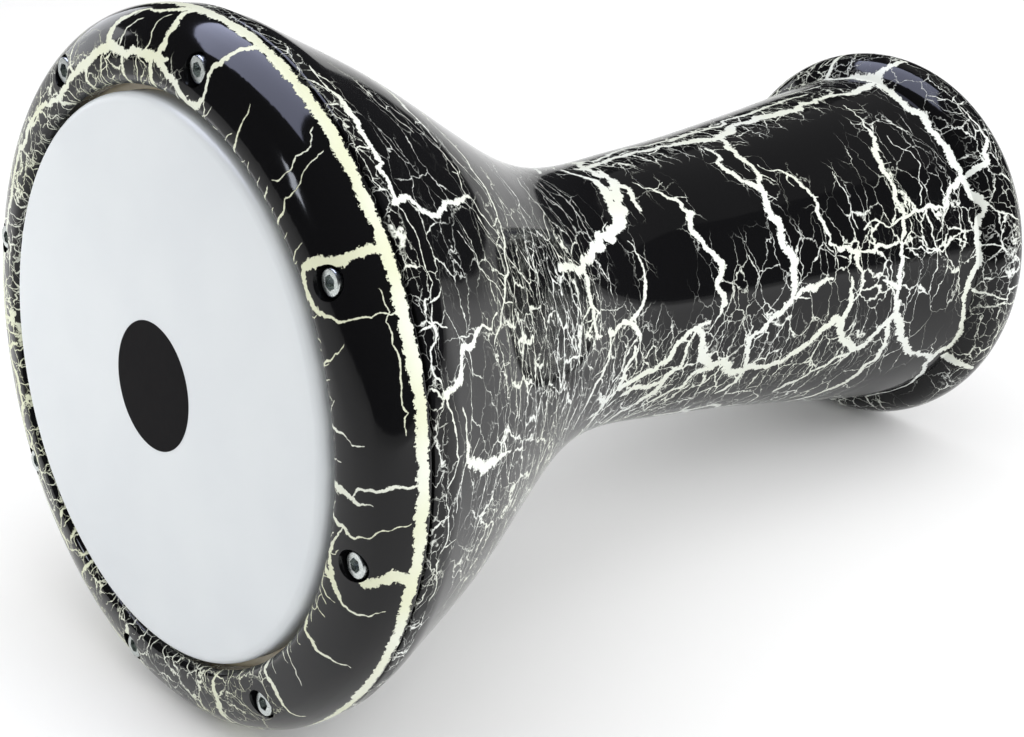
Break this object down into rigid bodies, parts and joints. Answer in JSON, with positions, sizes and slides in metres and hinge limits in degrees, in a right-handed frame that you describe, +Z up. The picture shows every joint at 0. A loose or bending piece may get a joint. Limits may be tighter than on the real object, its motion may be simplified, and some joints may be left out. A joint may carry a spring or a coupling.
{
  "type": "darbuka",
  "caption": "Goblet drum of cast aluminium in black crackle lacquer, with a plastic head held by a hoop and a tuning ring on socket bolts.",
  "frame": {"origin": "on the surface that the drum lies on, under the middle of its bounding box", "axes": "+Z up; the drum lies on its side with its head facing -Y and its open foot towards +Y; its axis leans up towards the head by 6.68 degrees"},
  "size_m": [0.282, 0.4554, 0.2806],
  "materials": {
    "crackle_lacquer_shell": "gloss black crackle lacquer over a cream base coat on cast aluminium",
    "crackle_lacquer_ring": "gloss black crackle lacquer over a cream base coat on cast aluminium",
    "head_plastic": "milky satin polyester film",
    "patch_ink": "black print",
    "hoop_steel": "pressed sheet, plain",
    "hoop_resin": "cast resin",
    "bolt_steel": "zinc-plated, satin",
    "washer_steel": "plain",
    "insert_brass": "turned"
  },
  "bodies": {
    "drum_body": {"shell": "crackle_lacquer_shell", "head_film": "head_plastic", "centre_patch": "patch_ink", "threaded_insert_1": "insert_brass", "threaded_insert_2": "insert_brass", "threaded_insert_3": "insert_brass", "threaded_insert_4": "insert_brass", "threaded_insert_5": "insert_brass", "threaded_insert_6": "insert_brass", "threaded_insert_7": "insert_brass", "threaded_insert_8": "insert_brass"},
    "ring_assembly": {"tuning_ring": "crackle_lacquer_ring", "head_hoop": "hoop_steel", "hoop_resin": "hoop_resin", "washer_1": "washer_steel", "washer_2": "washer_steel", "washer_3": "washer_steel", "washer_4": "washer_steel", "washer_5": "washer_steel", "washer_6": "washer_steel", "washer_7": "washer_steel", "washer_8": "washer_steel"},
    "bolt_1": {"tuning_bolt_1": "bolt_steel"},
    "bolt_2": {"tuning_bolt_2": "bolt_steel"},
    "bolt_3": {"tuning_bolt_3": "bolt_steel"},
    "bolt_4": {"tuning_bolt_4": "bolt_steel"},
    "bolt_5": {"tuning_bolt_5": "bolt_steel"},
    "bolt_6": {"tuning_bolt_6": "bolt_steel"},
    "bolt_7": {"tuning_bolt_7": "bolt_steel"},
    "bolt_8": {"tuning_bolt_8": "bolt_steel"}
  },
  "joints": [
    {"name": "ring_travel", "type": "slide", "parent": "drum_body", "child": "ring_assembly", "axis": [0, -0.9932, 0.1164], "range_m": [-0.001, 0.003]},
    {"name": "bolt_1_turn", "type": "hinge", "parent": "ring_assembly", "child": "bolt_1", "pos_m": [0.02167, -0.19055, 0.26607], "axis": [0, -0.9932, 0.1164], "range_deg": [-360, 1080]},
    {"name": "bolt_2_turn", "type": "hinge", "parent": "ring_assembly", "child": "bolt_2", "pos_m": [-0.07338, -0.19304, 0.2448], "axis": [0, -0.9932, 0.1164], "range_deg": [-360, 1080]},
    {"name": "bolt_3_turn", "type": "hinge", "parent": "ring_assembly", "child": "bolt_3", "pos_m": [-0.12544, -0.20263, 0.163], "axis": [0, -0.9932, 0.1164], "range_deg": [-360, 1080]},
    {"name": "bolt_4_turn", "type": "hinge", "parent": "ring_assembly", "child": "bolt_4", "pos_m": [-0.10402, -0.21369, 0.0686], "axis": [0, -0.9932, 0.1164], "range_deg": [-360, 1080]},
    {"name": "bolt_5_turn", "type": "hinge", "parent": "ring_assembly", "child": "bolt_5", "pos_m": [-0.02167, -0.21975, 0.01689], "axis": [0, -0.9932, 0.1164], "range_deg": [-360, 1080]},
    {"name": "bolt_6_turn", "type": "hinge", "parent": "ring_assembly", "child": "bolt_6", "pos_m": [0.07338, -0.21726, 0.03816], "axis": [0, -0.9932, 0.1164], "range_deg": [-360, 1080]},
    {"name": "bolt_7_turn", "type": "hinge", "parent": "ring_assembly", "child": "bolt_7", "pos_m": [0.12544, -0.20767, 0.11996], "axis": [0, -0.9932, 0.1164], "range_deg": [-360, 1080]},
    {"name": "bolt_8_turn", "type": "hinge", "parent": "ring_assembly", "child": "bolt_8", "pos_m": [0.10402, -0.19661, 0.21436], "axis": [0, -0.9932, 0.1164], "range_deg": [-360, 1080]}
  ],
  "couplings": [
    {"joint": "bolt_1_turn", "follows": "ring_travel", "rad_per_m": 6283.2},
    {"joint": "bolt_2_turn", "follows": "ring_travel", "rad_per_m": 6283.2},
    {"joint": "bolt_3_turn", "follows": "ring_travel", "rad_per_m": 6283.2},
    {"joint": "bolt_4_turn", "follows": "ring_travel", "rad_per_m": 6283.2},
    {"joint": "bolt_5_turn", "follows": "ring_travel", "rad_per_m": 6283.2},
    {"joint": "bolt_6_turn", "follows": "ring_travel", "rad_per_m": 6283.2},
    {"joint": "bolt_7_turn", "follows": "ring_travel", "rad_per_m": 6283.2},
    {"joint": "bolt_8_turn", "follows": "ring_travel", "rad_per_m": 6283.2}
  ]
}
